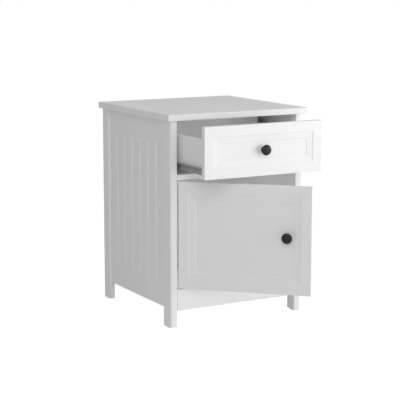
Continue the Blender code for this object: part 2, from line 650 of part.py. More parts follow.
def make_cup(place, z):
    """Hinge cup let into the door's back, with two ears that lie on the door, and its link's pin."""
    inside = CUP_RADIUS - CUP_WALL
    rim = FRONT_THICKNESS + FIT + CUP_EAR_THICKNESS
    depth = rim - (FRONT_THICKNESS - CUP_DEPTH)
    shell = ((0, 0), (CUP_RADIUS, 0), (CUP_RADIUS, depth), (inside, depth), (inside, CUP_WALL),
             (0, CUP_WALL))
    frame = Matrix.Translation((CUP_X, rim - depth, z)) @ Matrix.Rotation(math.radians(-90), 4, "X")
    cup = add_piece(f"{place}_hinge_cup", turned(shell, frame), STEEL, DOOR)
    half, root_half = CUP_EAR_WIDTH / 2, CUP_EAR_ROOT / 2
    for way in (-1, 1):
        root = z + way * (inside + CUP_WALL / 2)
        tip = z + way * CUP_EAR_REACH
        ear = rounded(((CUP_X - root_half, root, 0), (CUP_X + root_half, root, 0),
                       (CUP_X + half, tip, CUP_EAR_RADIUS), (CUP_X - half, tip, CUP_EAR_RADIUS)))
        apply_tool(cup, prism(ear, FRONT_THICKNESS + FIT, rim, "Y"), "UNION")
    notch_z = LINK_HALF_HEIGHT + ARM_CHEEK + 2 * FIT
    notch_low = (CUP_RIM_X - CUP_WALL, FRONT_THICKNESS - FIT, z - notch_z)
    notch_high = (CUP_PIVOT.x, rim + CUP_WALL, z + notch_z)
    apply_tool(cup, block(notch_low, notch_high))
    offset = CUP_X - CUP_PIVOT.x + PIN_RADIUS
    reach = math.sqrt(inside ** 2 - offset ** 2) - FIT
    pin = rod((*CUP_PIVOT, z - reach), (*CUP_PIVOT, z + reach), PIN_RADIUS)
    add_piece(f"{place}_cup_pin", pin, STEEL, DOOR)


def make_link(place, z):
    """Crooked link from the arm's pin to the cup's pin, which hooks round the edge of the open door."""
    cup_floor = FRONT_THICKNESS - CUP_DEPTH + CUP_WALL
    bend_y = cup_floor + LINK_FLOOR_CLEARANCE + LINK_HALF_THICKNESS
    path = [CUP_PIVOT.copy(), Vector((CUP_PIVOT.x + LINK_LEAN, bend_y)),
            Vector((ARM_PIVOT.x - LINK_LEAN, bend_y)), ARM_PIVOT.copy()]
    low, high = z - LINK_HALF_HEIGHT, z + LINK_HALF_HEIGHT
    bar = prism(strip(path, LINK_HALF_THICKNESS), low, high, "Z")
    link = add_piece(f"{place}_hinge_link", bar, STEEL, LINKS)
    for pivot in (CUP_PIVOT, ARM_PIVOT):
        apply_tool(link, rod((*pivot, low), (*pivot, high), EYE_RADIUS), "UNION")
    for pivot in (CUP_PIVOT, ARM_PIVOT):
        apply_tool(link, rod((*pivot, low - EYE_RADIUS), (*pivot, high + EYE_RADIUS), BORE_RADIUS))


def make_arm(place, z):
    """Cranked arm from its plate on the cabinet's side round the post to a fork in the cup's mouth."""
    wall = -WALL_X
    arm_x = wall + FIT + PLATE_THICKNESS + FIT + ARM_HALF_THICKNESS
    crank_y = POST_DEPTH + 2 * ARM_HALF_THICKNESS
    arm_end = crank_y + ARM_LENGTH
    half_height = LINK_HALF_HEIGHT + FIT + ARM_CHEEK
    path = [ARM_PIVOT.copy(), Vector((ARM_PIVOT.x, crank_y)), Vector((arm_x, crank_y)),
            Vector((arm_x, arm_end))]
    low, high = z - half_height, z + half_height
    arm = add_piece(f"{place}_hinge_arm", prism(strip(path, ARM_HALF_THICKNESS), low, high, "Z"), STEEL)
    apply_tool(arm, rod((*ARM_PIVOT, low), (*ARM_PIVOT, high), EYE_RADIUS), "UNION")
    room = EYE_RADIUS + 2 * FIT
    slot_z = LINK_HALF_HEIGHT + FIT
    slot_low = (ARM_PIVOT.x - 2 * EYE_RADIUS, ARM_PIVOT.y - 2 * EYE_RADIUS, z - slot_z)
    slot_high = (ARM_PIVOT.x + 2 * EYE_RADIUS, ARM_PIVOT.y + room, z + slot_z)
    apply_tool(arm, block(slot_low, slot_high))
    apply_tool(arm, rod((*ARM_PIVOT, low - EYE_RADIUS), (*ARM_PIVOT, high + EYE_RADIUS), BORE_RADIUS))
    add_piece(f"{place}_arm_pin", rod((*ARM_PIVOT, low), (*ARM_PIVOT, high), PIN_RADIUS), STEEL)

    plate_low = wall + FIT
    near = crank_y + 2 * ARM_HALF_THICKNESS
    far = near + PLATE_LENGTH
    middle = (near + far) / 2
    half_plate, half_wing = PLATE_HEIGHT / 2, PLATE_WING_WIDTH / 2
    bend = half_wing / 2
    cross = rounded(((near, z - half_plate, bend), (middle - half_wing, z - half_plate, 0),
                     (middle - half_wing, z - PLATE_WING_REACH, bend),
                     (middle + half_wing, z - PLATE_WING_REACH, bend),
                     (middle + half_wing, z - half_plate, 0), (far, z - half_plate, bend),
                     (far, z + half_plate, bend), (middle + half_wing, z + half_plate, 0),
                     (middle + half_wing, z + PLATE_WING_REACH, bend),
                     (middle - half_wing, z + PLATE_WING_REACH, bend),
                     (middle - half_wing, z + half_plate, 0), (near, z + half_plate, bend)))
    plate = prism(cross, plate_low, plate_low + PLATE_THICKNESS, "X")
    add_piece(f"{place}_hinge_plate", plate, STEEL)


def make_catch():
    """Slim magnetic catch under the divider, and the strike plate that meets it on the door's back."""
    x = FRONT_HALF - CATCH_FROM_EDGE
    strike_back = FRONT_THICKNESS + FIT + STRIKE_THICKNESS
    top = DIVIDER_UNDERSIDE - FIT
    near = strike_back + FIT
    body = block((x - CATCH_LENGTH / 2, near, top - CATCH_HEIGHT),
                 (x + CATCH_LENGTH / 2, near + CATCH_DEPTH, top), PANEL_EDGE_RADIUS)
    add_piece("magnetic_catch", body, NYLON)
    strike_top = DOOR_TOP - PANEL_EDGE_RADIUS
    strike = block((x - STRIKE_LENGTH / 2, FRONT_THICKNESS + FIT, strike_top - STRIKE_HEIGHT),
                   (x + STRIKE_LENGTH / 2, strike_back, strike_top))
    add_piece("strike_plate", strike, STEEL, DOOR)


make_carcass()
make_drawer()
for runner_side, runner_sign in (("left", -1), ("right", 1)):
    make_runners(runner_side, runner_sign)
make_door()
make_catch()
bpy.context.view_layer.update()
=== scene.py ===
"""Looks of the white bedside cabinet: lacquered boards, routed fronts, knobs, hinges and runners."""
import json
import math

import bmesh
import bpy
from mathutils import Matrix, Vector


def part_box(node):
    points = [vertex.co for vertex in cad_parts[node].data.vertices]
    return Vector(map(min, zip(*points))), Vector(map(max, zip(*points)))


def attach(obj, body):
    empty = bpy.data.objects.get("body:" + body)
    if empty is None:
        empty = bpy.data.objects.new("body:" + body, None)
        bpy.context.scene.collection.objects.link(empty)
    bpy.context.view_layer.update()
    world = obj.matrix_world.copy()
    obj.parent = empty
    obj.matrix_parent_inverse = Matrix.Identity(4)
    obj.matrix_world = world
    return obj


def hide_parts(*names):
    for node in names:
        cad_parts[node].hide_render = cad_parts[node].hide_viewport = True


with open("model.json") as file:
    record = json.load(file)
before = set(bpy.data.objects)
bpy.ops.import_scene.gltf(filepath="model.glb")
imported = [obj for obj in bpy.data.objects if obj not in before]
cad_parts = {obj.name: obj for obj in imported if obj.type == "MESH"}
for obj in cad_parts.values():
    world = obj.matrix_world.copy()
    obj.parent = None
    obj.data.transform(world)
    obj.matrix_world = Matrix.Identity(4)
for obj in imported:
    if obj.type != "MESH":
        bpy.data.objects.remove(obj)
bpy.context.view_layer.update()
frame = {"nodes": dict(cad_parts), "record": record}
SLOT_OF = {part["node"]: part["material_slot"] for part in frame["record"]["subparts"]}
BODY_OF = {node: body for body, nodes in frame["record"]["behaviour"]["bodies"].items() for node in nodes}

# Mesh work
WELD = 1e-6
FLAT_ANGLE = math.radians(1)
SHARP_ANGLE = math.radians(32)
CUT_SHARP_ANGLE = math.radians(12)
EASE_ANGLE = math.radians(50)
EASE_SEGMENTS = 3
EASE_PROFILE = 0.5
ROUND_STEPS = 64
BACK_FACING = 0.9

# Radius of the eased edges of each kind of piece
TOP_RADIUS = 0.002
BOARD_RADIUS = 0.0008
THIN_RADIUS = 0.0004
STEEL_RADIUS = 0.0002
PLASTIC_RADIUS = 0.0003

# Upright V grooves of the side panels
GROOVE_COUNT = 6
GROOVE_DEPTH = 0.0035
GROOVE_HALF_WIDTH = 0.0055
GROOVE_END_MARGIN = 0.060
GROOVE_RUN_OUT = 0.005

# Routed fronts: a step, a shallow moulding and a second step, each an S-shaped fall
FRONT_RADIUS = 0.001
FRAME_WIDTH = 0.0285
STEP_RUN = 0.0020
STEP_FACETS = 6
OUTER_STEP = 0.0015
MOULDING_WIDTH = 0.0165
MOULDING_DROP = 0.0012
MOULDING_FACETS = 12
INNER_STEP = 0.0015
DOOR_ANGLE = math.radians(44.5)

# Hinge cups: their bores in the door's back, and their ears on it
CUP_FROM_EDGE = 0.0222
CUP_BORE_RADIUS = 0.0175
CUP_BORE_DEPTH = 0.0113
CUP_BORE_PATCH = 0.0200
CUP_BORE_STEPS = 48
EAR_RISE = 0.0015
EAR_SCREW_OFFSET = 0.0221

# Knobs
KNOB_RADIUS = 0.01475
KNOB_HEIGHT = 0.020
KNOB_BASE_RADIUS = 0.0085
KNOB_BASE_HEIGHT = 0.0016
KNOB_NECK_RADIUS = 0.0060
KNOB_NECK_HEIGHT = 0.0060
KNOB_RIM_HEIGHT = 0.0140
KNOB_CROWN_POWER = 0.6
KNOB_FLARE_POWER = 2.2
KNOB_ARC_STEPS = 12

# Rollers, glides and back-panel pins, all turned
ROLLER_BORE = 0.0023
ROLLER_HUB = 0.0042
ROLLER_DISH = 0.0010
ROLLER_EDGE = 0.00075
GLIDE_EDGE = 0.0005
TURNED_EDGE_STEPS = 4
PIN_RADIUS = 0.0024
PIN_RISE = 0.0007
PIN_STEPS = 16
PIN_MARGIN = 0.004
PIN_SPACING = 0.075

# Cross-head screws: shares of the head's radius and height
SCREW_STEPS = 24
SCREW_DOME = ((1.0, 0.0), (1.0, 0.35), (0.92, 0.72), (0.70, 1.0))
CROSS_STEPS = 12
CROSS_TURN = math.pi / CROSS_STEPS
CROSS_WAIST = math.sqrt(2) * math.sin(CROSS_TURN)
CROSS_MOUTH = (0.56, 1.0)
CROSS_FLOOR = (0.44, 0.2)
BIG_SCREW = (0.0042, 0.0018)
ARM_SCREW = (0.0033, 0.0015)
CUP_SCREW = (0.0038, 0.0014)
FLAT_SCREW = (0.0036, 0.0008)
FLUSH_SCREW = (0.0028, 0.0002)
WING_SCREW_OFFSET = 0.0165
ARM_RISE = 0.0028
ARM_SCREW_OFFSET = 0.011
RUNNER_STEEL = 0.001
RUNNER_TREAD = 0.0086
CABINET_SCREW_PLACES = (0.030, 0.130, 0.235)
DRAWER_SCREW_PLACES = (0.175, 0.250)
CATCH_SCREW_OFFSET = 0.016
STRIKE_SCREW_OFFSET = 0.012

# Finishes: noise of the film's clouds and peel, and of the hairlines, which are drawn out along two ways
CLOUD_NOISE = {"Detail": 4.0, "Roughness": 0.55}
CLOUD_RANGE = {"From_Min": 0.3, "From_Max": 0.7}
PEEL_NOISE = {"Detail": 2.0, "Roughness": 0.4}
PEEL_HEIGHT = 0.0002
HAIRLINE_SCALE = 40.0
HAIRLINE_NOISE = {"Detail": 1.0}
HAIRLINE_RANGE = {"From_Min": 0.60, "From_Max": 0.72}
HAIRLINE_STRETCH = (1, 16, 16)
HAIRLINE_TURNS = ((0.4, 0.2, 0.9), (1.2, 0.7, -0.5))

# Camera, found from the cabinet's edges in the photo
CAMERA_PLACE = (-1.8723, -3.2294, 0.9655)
CAMERA_YAW = math.radians(29.149)
CAMERA_PITCH = math.radians(9.598)
CAMERA_LENS = 118.13
SENSOR_WIDTH = 36.0

# Light: an even surround and soft boxes that look at the cabinet's middle
AMBIENT = 0.336
AIM = Vector((0, 0, 0.3))
LIGHT_DISTANCE = 3.0
SOFT_BOXES = {
    # name: azimuth and elevation in degrees, width and height in metres, power in watts
    "key": (55, 6, 3.2, 1.0, 46.0),
    "high": (30, 40, 1.6, 1.6, 8.0),
    "fill": (-30, 30, 1.6, 1.6, 17.0),
}
FLOOR_SIZE = 40.0
FLOOR_GLOW = 0.93
FLOOR_SHADE = 0.25
FLOOR_BOUNCE = 0.9
MAX_BOUNCES = 24
DIFFUSE_BOUNCES = 16


# Mesh helpers

def both(name):
    return [f"left_{name}", f"right_{name}"]


def middle_of(node):
    low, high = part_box(node)
    return (low + high) / 2


def block(low, high):
    low, high = Vector(low), Vector(high)
    bm = bmesh.new()
    bmesh.ops.create_cube(bm, size=1.0)
    bmesh.ops.scale(bm, vec=high - low, verts=bm.verts)
    bmesh.ops.translate(bm, vec=(low + high) / 2, verts=bm.verts)
    return bm


def ease(bm, edges, radius):
    bmesh.ops.bevel(bm, geom=edges, offset=radius, offset_type="OFFSET", segments=EASE_SEGMENTS,
                    profile=EASE_PROFILE, affect="EDGES", clamp_overlap=True, material=-1)
    bm.normal_update()


def eased_copy(node, radius):
    """A CAD node's shape as one merged mesh, its flat faces whole again and its sharp edges rounded off."""
    bm = bmesh.new()
    bm.from_mesh(frame["nodes"][node].data)
    bmesh.ops.remove_doubles(bm, verts=bm.verts, dist=WELD)
    bmesh.ops.dissolve_limit(bm, angle_limit=FLAT_ANGLE, verts=bm.verts, edges=bm.edges)
    sharp = [edge for edge in bm.edges if edge.is_manifold and edge.calc_face_angle() > EASE_ANGLE]
    ease(bm, sharp, radius)
    return bm


def lathe(profile, place, steps=ROUND_STEPS):
    """(radius, height) points spun about the height axis and set in place."""
    bm = bmesh.new()
    points = [bm.verts.new((radius, 0, height)) for radius, height in profile]
    lines = [bm.edges.new(pair) for pair in zip(points, points[1:])]
    bmesh.ops.spin(bm, geom=points + lines, cent=(0, 0, 0), axis=(0, 0, 1), dvec=(0, 0, 0),
                   angle=math.tau, steps=steps, use_merge=True, use_duplicate=False)
    bmesh.ops.remove_doubles(bm, verts=bm.verts, dist=WELD)
    bmesh.ops.recalc_face_normals(bm, faces=bm.faces)
    bm.transform(place)
    return bm


def facing(point, direction):
    """Place at a point, with its height axis along a direction."""
    return Matrix.Translation(point) @ Vector(direction).to_track_quat("Z", "Y").to_matrix().to_4x4()


def repeated(bm, places):
    """Copies of a shape, one at each place; the first shape itself goes."""
    first = [*bm.verts, *bm.edges, *bm.faces]
    first_verts = bm.verts[:]
    for place in places:
        copy = bmesh.ops.duplicate(bm, geom=first)["geom"]
        verts = [part for part in copy if isinstance(part, bmesh.types.BMVert)]
        bmesh.ops.transform(bm, matrix=place, verts=verts)
    bmesh.ops.delete(bm, geom=first_verts, context="VERTS")
    return bm


def add_piece(name, bm, slot, body, *stands_for, sharp_angle=SHARP_ANGLE):
    """New piece with a slot's finish that rides on a body and stands for CAD nodes.
    Edges marked as seams, such as mitres, stay sharp whatever their angle."""
    mesh = bpy.data.meshes.new(name)
    bm.to_mesh(mesh)
    bm.free()
    mesh.materials.append(FINISHES[slot])
    mesh.shade_smooth()
    mesh.set_sharp_from_angle(angle=sharp_angle)
    for edge in mesh.edges:
        edge.use_edge_sharp |= edge.use_seam
    piece = bpy.data.objects.new(name, mesh)
    bpy.context.scene.collection.objects.link(piece)
    normals = piece.modifiers.new("true_flats", "WEIGHTED_NORMAL")
    normals.keep_sharp = True
    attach(piece, body)
    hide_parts(*stands_for)


def stand_in(word, bm, node, sharp_angle=SHARP_ANGLE):
    """New piece in the place of one CAD node, with that node's slot and body."""
    add_piece(f"{word}_{node}", bm, SLOT_OF[node], BODY_OF[node], node, sharp_angle=sharp_angle)


# Materials

def set_inputs(node, values):
    """Shader node with its inputs set by name, underscores standing for spaces."""
    for name, value in values.items():
        node.inputs[name.replace("_", " ")].default_value = value
    return node


def add_node(tree, kind, **values):
    return set_inputs(tree.nodes.new(kind), values)


def add_group(tree, group, **values):
    made = tree.nodes.new("ShaderNodeGroup")
    made.node_tree = group
    return set_inputs(made, values)


def add_math(tree, operation, *inputs):
    """New math node; each input is an output socket to link or a number to set."""
    made = tree.nodes.new("ShaderNodeMath")
    made.operation = operation
    for socket, value in zip(made.inputs, inputs):
        if isinstance(value, bpy.types.NodeSocket):
            tree.links.new(value, socket)
        else:
            socket.default_value = value
    return made.outputs["Value"]


def new_group(name, inputs, outputs):
    """Empty shader group with (name, type, default) inputs and (name, type) outputs, and its end nodes."""
    tree = bpy.data.node_groups.new(name, "ShaderNodeTree")
    for label, kind, value in inputs:
        socket = tree.interface.new_socket(label, in_out="INPUT", socket_type=kind)
        socket.default_value = value
    for label, kind in outputs:
        tree.interface.new_socket(label, in_out="OUTPUT", socket_type=kind)
    return tree, tree.nodes.new("NodeGroupInput"), tree.nodes.new("NodeGroupOutput")


def surface_film_group():
    """Lacquer, enamel or plating: clouds of thinner film, uneven gloss and fine orange peel.
    Stretch below 1 along an axis draws the clouds out that way, as on rolled steel."""
    tree, inp, out = new_group(
        "surface_film",
        [("Colour", "NodeSocketColor", (0.8, 0.8, 0.8, 1)),
         ("Thin Colour", "NodeSocketColor", (0.7, 0.7, 0.7, 1)),
         ("Stretch", "NodeSocketVector", (1, 1, 1)),
         ("Cloud Scale", "NodeSocketFloat", 7.0), ("Peel Scale", "NodeSocketFloat", 420.0),
         ("Gloss Low", "NodeSocketFloat", 0.4), ("Gloss High", "NodeSocketFloat", 0.5)],
        [("Colour", "NodeSocketColor"), ("Roughness", "NodeSocketFloat"), ("Height", "NodeSocketFloat")])
    link = tree.links.new
    coords = add_node(tree, "ShaderNodeTexCoord")
    drawn_out = add_node(tree, "ShaderNodeVectorMath")
    drawn_out.operation = "MULTIPLY"
    link(coords.outputs["Object"], drawn_out.inputs[0])
    link(inp.outputs["Stretch"], drawn_out.inputs[1])
    cloud = add_node(tree, "ShaderNodeTexNoise", **CLOUD_NOISE)
    peel = add_node(tree, "ShaderNodeTexNoise", **PEEL_NOISE)
    for noise, scale in ((cloud, "Cloud Scale"), (peel, "Peel Scale")):
        link(drawn_out.outputs["Vector"], noise.inputs["Vector"])
        link(inp.outputs[scale], noise.inputs["Scale"])
    tint = add_node(tree, "ShaderNodeMix")
    tint.data_type = "RGBA"
    link(cloud.outputs["Fac"], tint.inputs["Factor"])
    link(inp.outputs["Thin Colour"], tint.inputs["A"])
    link(inp.outputs["Colour"], tint.inputs["B"])
    gloss = add_node(tree, "ShaderNodeMapRange", **CLOUD_RANGE)
    link(cloud.outputs["Fac"], gloss.inputs["Value"])
    link(inp.outputs["Gloss Low"], gloss.inputs["To Min"])
    link(inp.outputs["Gloss High"], gloss.inputs["To Max"])
    link(tint.outputs["Result"], out.inputs["Colour"])
    link(gloss.outputs["Result"], out.inputs["Roughness"])
    link(peel.outputs["Fac"], out.inputs["Height"])
    return tree


def hairlines_group():
    """Mask of fine marks from wiping and handling: two fields of noise drawn out along different ways."""
    tree, inp, out = new_group(
        "hairlines", [("Scale", "NodeSocketFloat", HAIRLINE_SCALE)], [("Mask", "NodeSocketFloat")])
    link = tree.links.new
    coords = add_node(tree, "ShaderNodeTexCoord")
    fields = []
    for turn in HAIRLINE_TURNS:
        drawn_out = add_node(tree, "ShaderNodeMapping", Rotation=turn, Scale=HAIRLINE_STRETCH)
        noise = add_node(tree, "ShaderNodeTexNoise", **HAIRLINE_NOISE)
        peak = add_node(tree, "ShaderNodeMapRange", **HAIRLINE_RANGE)
        link(coords.outputs["Object"], drawn_out.inputs["Vector"])
        link(drawn_out.outputs["Vector"], noise.inputs["Vector"])
        link(inp.outputs["Scale"], noise.inputs["Scale"])
        link(noise.outputs["Fac"], peak.inputs["Value"])
        fields.append(peak.outputs["Result"])
    link(add_math(tree, "MAXIMUM", *fields), out.inputs["Mask"])
    return tree


def finish(slot, colour, thin, bump, metallic=0.0, specular=0.5, marks=0.05,
           marks_scale=HAIRLINE_SCALE, **film_values):
    """Principled material of a slot: film colour, peel bump, and a gloss that hairlines dull by marks."""
    material = bpy.data.materials.new(slot)
    material.use_nodes = True
    tree = material.node_tree
    shader = tree.nodes["Principled BSDF"]
    shader.inputs["Metallic"].default_value = metallic
    shader.inputs["Specular IOR Level"].default_value = specular
    film = add_group(tree, SURFACE_FILM, Colour=(*colour, 1), Thin_Colour=(*thin, 1), **film_values)
    hairlines = add_group(tree, HAIRLINES, Scale=marks_scale)
    gloss = add_math(tree, "MULTIPLY_ADD", hairlines.outputs["Mask"], marks, film.outputs["Roughness"])
    peel = add_node(tree, "ShaderNodeBump", Strength=bump, Distance=PEEL_HEIGHT)
    tree.links.new(film.outputs["Height"], peel.inputs["Height"])
    tree.links.new(film.outputs["Colour"], shader.inputs["Base Color"])
    tree.links.new(gloss, shader.inputs["Roughness"])
    tree.links.new(peel.outputs["Normal"], shader.inputs["Normal"])
    FINISHES[slot] = material


SURFACE_FILM = surface_film_group()
HAIRLINES = hairlines_group()
FINISHES = {}
finish("white_lacquer", (0.92, 0.92, 0.92), (0.90, 0.90, 0.90), bump=0.15,
       Gloss_Low=0.42, Gloss_High=0.52)
finish("white_hardboard", (0.86, 0.86, 0.85), (0.82, 0.82, 0.81), bump=0.5, marks=0.02,
       Gloss_Low=0.60, Gloss_High=0.75, Peel_Scale=900.0, Stretch=(1, 1, 0.4))
finish("black_knob", (0.010, 0.010, 0.010), (0.016, 0.016, 0.016), bump=0.3, specular=0.25, marks=0.10,
       marks_scale=160.0, Gloss_Low=0.24, Gloss_High=0.36, Cloud_Scale=120.0, Peel_Scale=1500.0)
finish("grey_steel", (0.34, 0.34, 0.35), (0.27, 0.27, 0.28), bump=0.2, marks=0.12, marks_scale=90.0,
       Gloss_Low=0.40, Gloss_High=0.55, Cloud_Scale=40.0, Peel_Scale=1200.0, Stretch=(1, 0.15, 1))
finish("white_nylon", (0.74, 0.74, 0.72), (0.66, 0.66, 0.64), bump=0.3, marks=0.08, marks_scale=120.0,
       Gloss_Low=0.40, Gloss_High=0.55, Cloud_Scale=90.0, Peel_Scale=1500.0)
finish("zinc_steel", (0.80, 0.80, 0.81), (0.70, 0.70, 0.71), bump=0.3, metallic=1.0, marks=0.15,
       marks_scale=110.0, Gloss_Low=0.40, Gloss_High=0.55, Cloud_Scale=160.0, Peel_Scale=900.0,
       Stretch=(1, 0.3, 1))


# Boards and fronts

def make_eased_pieces():
    """Boards, sheets and pressed or moulded fittings that only need their sharp edges rounded."""
    boards = both("front_leg") + both("rear_leg") + both("runner_batten")
    boards += ["floor_panel", "divider_panel", "front_apron", "drawer_back"]
    boards += ["drawer_left_side", "drawer_right_side"]
    steel = both("cabinet_runner") + both("drawer_runner") + ["strike_plate"]
    for place in ("lower", "upper"):
        steel += [f"{place}_hinge_{piece}" for piece in ("plate", "arm", "link", "cup")]
    kinds = {TOP_RADIUS: ["top_panel"], BOARD_RADIUS: boards, THIN_RADIUS: ["back_panel", "drawer_bottom"],
             STEEL_RADIUS: steel, PLASTIC_RADIUS: ["magnetic_catch"]}
    for radius, nodes in kinds.items():
        for node in nodes:
            stand_in("finished", eased_copy(node, radius), node)


def make_side_panel(side, outward):
    """Side panel whose upright V grooves run out to the surface at both ends."""
    node = f"{side}_side_panel"
    low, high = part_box(node)
    bm = block(low, high)
    plank = (high.y - low.y) / (GROOVE_COUNT + 1)
    middles = [low.y + plank * (i + 1) for i in range(GROOVE_COUNT)]
    lines = [y + offset for y in middles for offset in (-GROOVE_HALF_WIDTH, 0, GROOVE_HALF_WIDTH)]
    foot, head = low.z + GROOVE_END_MARGIN, high.z - GROOVE_END_MARGIN
    heights = (foot, foot + GROOVE_RUN_OUT, head - GROOVE_RUN_OUT, head)
    cuts = [((0, y, 0), (0, 1, 0)) for y in lines] + [((0, 0, z), (0, 0, 1)) for z in heights]
    for place, across in cuts:
        geom = [*bm.verts, *bm.edges, *bm.faces]
        bmesh.ops.bisect_plane(bm, geom=geom, dist=WELD, plane_co=place, plane_no=across)
    outer_x = high.x if outward > 0 else low.x
    for vert in bm.verts:
        on_face = abs(vert.co.x - outer_x) < WELD and foot + WELD < vert.co.z < head - WELD
        if on_face and any(abs(vert.co.y - y) < WELD for y in middles):
            vert.co.x -= outward * GROOVE_DEPTH
    stand_in("grooved", bm, node, CUT_SHARP_ANGLE)


def ogee(run, drop, facets):
    """(run, drop) of each facet of an S-shaped fall."""
    falls = [drop * (1 - math.cos(math.pi * i / facets)) / 2 for i in range(facets + 1)]
    return [(run / facets, b - a) for a, b in zip(falls, falls[1:])]


def routed_front(width, thickness, foot, top):
    """Front board with a panel sunk behind a moulded frame; its front lies on y = 0."""
    bm = block((-width / 2, 0, foot), (width / 2, thickness, top))
    ease(bm, bm.edges[:], FRONT_RADIUS)
    panel = max(bm.faces, key=lambda face: -face.normal.y * face.calc_area())
    steps = [(FRAME_WIDTH - FRONT_RADIUS, 0.0)]
    steps += ogee(STEP_RUN, OUTER_STEP, STEP_FACETS)
    steps += ogee(MOULDING_WIDTH, MOULDING_DROP, MOULDING_FACETS)
    steps += ogee(STEP_RUN, INNER_STEP, STEP_FACETS)
    for run, drop in steps:
        bmesh.ops.inset_region(bm, faces=[panel], thickness=run, depth=-drop, use_even_offset=True)
    for edge in bm.edges:
        across = edge.verts[1].co - edge.verts[0].co
        edge.seam = edge.verts[0].co.y < thickness / 2 and abs(abs(across.x) - abs(across.z)) < WELD
    return bm


def back_face_at(bm, x, z):
    """The face on a front's back that holds a point."""
    def holds(face):
        xs, zs = [vert.co.x for vert in face.verts], [vert.co.z for vert in face.verts]
        return face.normal.y > BACK_FACING and min(xs) < x < max(xs) and min(zs) < z < max(zs)

    bm.normal_update()
    return next(face for face in bm.faces if holds(face))


def bore_back(bm, x, z):
    """Blind round hole for a hinge cup in a front's back: a square patch cut out, made round and sunk."""
    for across in (Vector((1, 0, 0)), Vector((0, 0, 1))):
        for way in (-1, 1):
            face = back_face_at(bm, x, z)
            place = Vector((x, 0, z)) + across * way * CUP_BORE_PATCH
            bmesh.ops.bisect_plane(bm, geom=[face, *face.edges, *face.verts], dist=WELD, plane_co=place,
                                   plane_no=across)
    patch = back_face_at(bm, x, z)
    middle = Vector((x, patch.verts[0].co.y, z))
    bmesh.ops.bisect_edges(bm, edges=patch.edges[:], cuts=CUP_BORE_STEPS // 4 - 1)
    margin = CUP_BORE_PATCH - CUP_BORE_RADIUS
    bmesh.ops.inset_region(bm, faces=[patch], thickness=margin, use_even_offset=True)
    for vert in patch.verts:
        vert.co = middle + (vert.co - middle).normalized() * CUP_BORE_RADIUS
    bmesh.ops.inset_region(bm, faces=[patch], thickness=0.0, depth=-CUP_BORE_DEPTH)


def front_size():
    """Width and thickness of the drawer front, which the door shares."""
    low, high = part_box("drawer_front")
    return high.x - low.x, high.y - low.y


def door_place():
    """Frame of the open door: its origin is under the middle of its front face, its x runs along it."""
    middle = middle_of("door_panel")
    turn = Matrix.Rotation(-DOOR_ANGLE, 4, "Z")
    to_front = Matrix.Translation((0, -front_size()[1] / 2, 0))
    return Matrix.Translation((middle.x, middle.y, 0)) @ turn @ to_front


def make_fronts():
    width, thickness = front_size()
    low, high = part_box("drawer_front")
    drawer = routed_front(width, thickness, low.z, high.z)
    bmesh.ops.translate(drawer, vec=(0, low.y, 0), verts=drawer.verts)
    stand_in("routed", drawer, "drawer_front", CUT_SHARP_ANGLE)
    low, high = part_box("door_panel")
    door = routed_front(width, thickness, low.z, high.z)
    for place in ("lower", "upper"):
        bore_back(door, CUP_FROM_EDGE - width / 2, middle_of(f"{place}_hinge_cup").z)
    door.transform(door_place())
    stand_in("routed", door, "door_panel", CUT_SHARP_ANGLE)


# Turned pieces

def quarter_turn():
    """Angles from 0 to 90 degrees of the points of a rounded edge."""
    return [math.pi / 2 * step / TURNED_EDGE_STEPS for step in range(TURNED_EDGE_STEPS + 1)]


def round_edge(radius, height, size, top=True):
    """Quarter round between a turned side and the flat at a height, which is its top or else its foot."""
    turns = quarter_turn()
    if top:
        return [(radius - size * (1 - math.cos(t)), height - size * (1 - math.sin(t))) for t in turns]
    return [(radius - size * (1 - math.sin(t)), height + size * (1 - math.cos(t))) for t in turns]


def knob_profile():
    """Outline of a mushroom knob from the middle of its base to the middle of its crown."""
    points = [(0, 0), (KNOB_BASE_RADIUS, 0), (KNOB_BASE_RADIUS, KNOB_BASE_HEIGHT)]
    neck_run, flare_run = KNOB_NECK_HEIGHT - KNOB_BASE_HEIGHT, KNOB_RIM_HEIGHT - KNOB_NECK_HEIGHT
    for step in range(1, KNOB_ARC_STEPS + 1):
        share = step / KNOB_ARC_STEPS
        radius = KNOB_BASE_RADIUS + (KNOB_NECK_RADIUS - KNOB_BASE_RADIUS) * math.sin(share * math.pi / 2)
        points.append((radius, KNOB_BASE_HEIGHT + share * neck_run))
    for step in range(1, KNOB_ARC_STEPS + 1):
        share = step / KNOB_ARC_STEPS
        radius = KNOB_NECK_RADIUS + (KNOB_RADIUS - KNOB_NECK_RADIUS) * share ** KNOB_FLARE_POWER
        points.append((radius, KNOB_NECK_HEIGHT + share * flare_run))
    for step in range(1, KNOB_ARC_STEPS):
        angle = math.pi / 2 * step / KNOB_ARC_STEPS
        radius = KNOB_RADIUS * math.cos(angle) ** KNOB_CROWN_POWER
        points.append((radius, KNOB_RIM_HEIGHT + (KNOB_HEIGHT - KNOB_RIM_HEIGHT) * math.sin(angle)))
    return points + [(0, KNOB_HEIGHT)]


def make_knobs():
    """Knobs on both fronts, each standing where its CAD node has its middle."""
    for node, turn in (("drawer_knob", 0.0), ("door_knob", -DOOR_ANGLE)):
        out = Matrix.Rotation(turn, 4, "Z") @ Matrix.Rotation(math.radians(90), 4, "X")
        place = Matrix.Translation(middle_of(node)) @ out @ Matrix.Translation((0, 0, -KNOB_HEIGHT / 2))
        stand_in("turned", lathe(knob_profile(), place), node)


